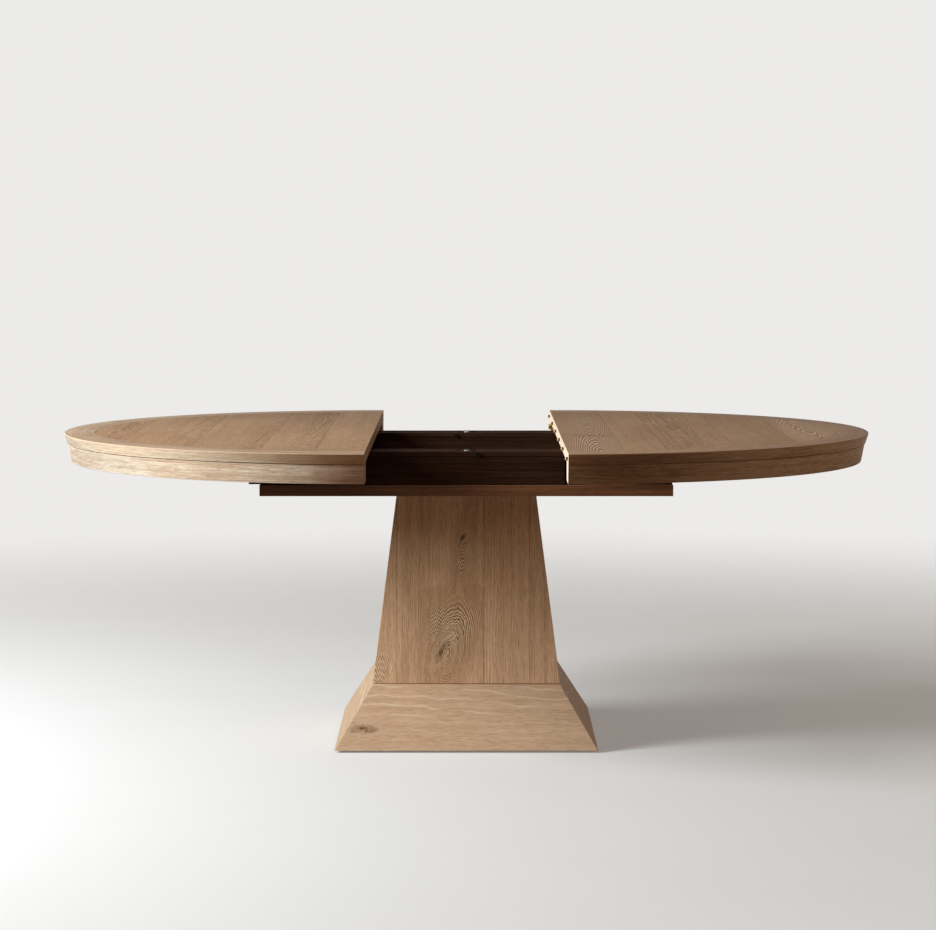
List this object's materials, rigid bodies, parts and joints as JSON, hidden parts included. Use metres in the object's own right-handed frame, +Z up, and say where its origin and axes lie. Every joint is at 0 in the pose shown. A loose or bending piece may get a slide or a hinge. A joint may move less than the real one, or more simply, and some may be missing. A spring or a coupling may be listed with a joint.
{
  "type": "round extending pedestal dining table",
  "caption": "Round oak dining table on a tapered square pedestal; the top splits and slides open on geared wooden slides to take a loose leaf.",
  "frame": {"origin": "on the floor below the middle of the pedestal", "axes": "+X along the slides towards the right half, +Y from front to back, +Z up"},
  "size_m": [1.961, 1.511, 0.746],
  "materials": {
    "oak_top": "oak veneer, satin lacquer",
    "oak_pedestal": "oak veneer, satin lacquer",
    "slide_wood": "dark stained hardwood",
    "platform_wood": "brown stained hardwood",
    "inner_wood": "plain plywood and softwood",
    "pin_wood": "plain beech",
    "gear_steel": "blackened steel",
    "zinc_steel": "bright zinc plate",
    "brass": "polished brass",
    "foot_plastic": "moulded black foot"
  },
  "bodies": {
    "pedestal": {"plinth_front_panel": "oak_pedestal", "column_front_panel": "oak_pedestal", "plinth_right_panel": "oak_pedestal", "column_right_panel": "oak_pedestal", "plinth_back_panel": "oak_pedestal", "column_back_panel": "oak_pedestal", "plinth_left_panel": "oak_pedestal", "column_left_panel": "oak_pedestal", "plinth_base_board": "inner_wood", "plinth_deck_board": "inner_wood", "plinth_corner_blocks": "inner_wood", "column_foot_board": "inner_wood", "column_head_board": "inner_wood", "column_corner_blocks": "inner_wood", "column_bolts": "zinc_steel", "platform_bolts": "zinc_steel", "pedestal_nuts": "zinc_steel", "platform_board": "platform_wood", "leveller_inserts": "zinc_steel", "front_fixed_rail": "slide_wood", "back_fixed_rail": "slide_wood", "fixed_rail_screws": "zinc_steel", "slide_stop_pegs": "zinc_steel", "pinion_axles": "zinc_steel"},
    "left_half": {"left_field_panel": "oak_top", "left_front_border": "oak_top", "left_back_border": "oak_top", "left_front_apron": "oak_top", "left_back_apron": "oak_top", "left_front_slide": "slide_wood", "left_back_slide": "slide_wood", "left_racks": "gear_steel", "left_rack_bolts": "gear_steel", "left_slide_screws": "zinc_steel", "left_pin_bushes": "brass", "left_lock_keepers": "brass", "left_keeper_screws": "brass"},
    "right_half": {"right_field_panel": "oak_top", "right_front_border": "oak_top", "right_back_border": "oak_top", "right_front_apron": "oak_top", "right_back_apron": "oak_top", "right_front_slide": "slide_wood", "right_back_slide": "slide_wood", "right_racks": "gear_steel", "right_rack_bolts": "gear_steel", "right_slide_screws": "zinc_steel", "right_pins": "pin_wood", "right_lock_plates": "brass", "right_lock_screws": "brass"},
    "front_pinion": {"front_pinion": "gear_steel"},
    "back_pinion": {"back_pinion": "gear_steel"},
    "front_lock": {"front_lock_lever": "brass"},
    "back_lock": {"back_lock_lever": "brass"},
    "front_left_leveller": {"front_left_leveller": "foot_plastic"},
    "back_left_leveller": {"back_left_leveller": "foot_plastic"},
    "front_right_leveller": {"front_right_leveller": "foot_plastic"},
    "back_right_leveller": {"back_right_leveller": "foot_plastic"}
  },
  "joints": [
    {"name": "left_half_slide", "type": "slide", "parent": "pedestal", "child": "left_half", "axis": [-1, 0, 0], "range_m": [-0.2247, 0]},
    {"name": "right_half_slide", "type": "slide", "parent": "pedestal", "child": "right_half", "axis": [1, 0, 0], "range_m": [-0.2247, 0]},
    {"name": "front_pinion_spin", "type": "hinge", "parent": "pedestal", "child": "front_pinion", "pos_m": [0, -0.307, 0.712], "axis": [0, 0, 1], "range_deg": [0, 717]},
    {"name": "back_pinion_spin", "type": "hinge", "parent": "pedestal", "child": "back_pinion", "pos_m": [0, 0.307, 0.712], "axis": [0, 0, 1], "range_deg": [-717, 0]},
    {"name": "front_lock_swing", "type": "hinge", "parent": "right_half", "child": "front_lock", "pos_m": [0.253, -0.589, 0.716], "axis": [0, 0, 1], "range_deg": [-20, 117.6]},
    {"name": "back_lock_swing", "type": "hinge", "parent": "right_half", "child": "back_lock", "pos_m": [0.253, 0.589, 0.716], "axis": [0, 0, 1], "range_deg": [-130.6, 7]},
    {"name": "front_left_leveller_turn", "type": "hinge", "parent": "pedestal", "child": "front_left_leveller", "pos_m": [-0.22165, -0.22165, 0.005], "axis": [0, 0, 1], "continuous": true},
    {"name": "back_left_leveller_turn", "type": "hinge", "parent": "pedestal", "child": "back_left_leveller", "pos_m": [-0.22165, 0.22165, 0.005], "axis": [0, 0, 1], "continuous": true},
    {"name": "front_right_leveller_turn", "type": "hinge", "parent": "pedestal", "child": "front_right_leveller", "pos_m": [0.22165, -0.22165, 0.005], "axis": [0, 0, 1], "continuous": true},
    {"name": "back_right_leveller_turn", "type": "hinge", "parent": "pedestal", "child": "back_right_leveller", "pos_m": [0.22165, 0.22165, 0.005], "axis": [0, 0, 1], "continuous": true}
  ],
  "couplings": [
    {"joint": "right_half_slide", "follows": "left_half_slide", "ratio": 1},
    {"joint": "front_pinion_spin", "follows": "left_half_slide", "rad_per_m": -55.556},
    {"joint": "back_pinion_spin", "follows": "left_half_slide", "rad_per_m": 55.556}
  ]
}
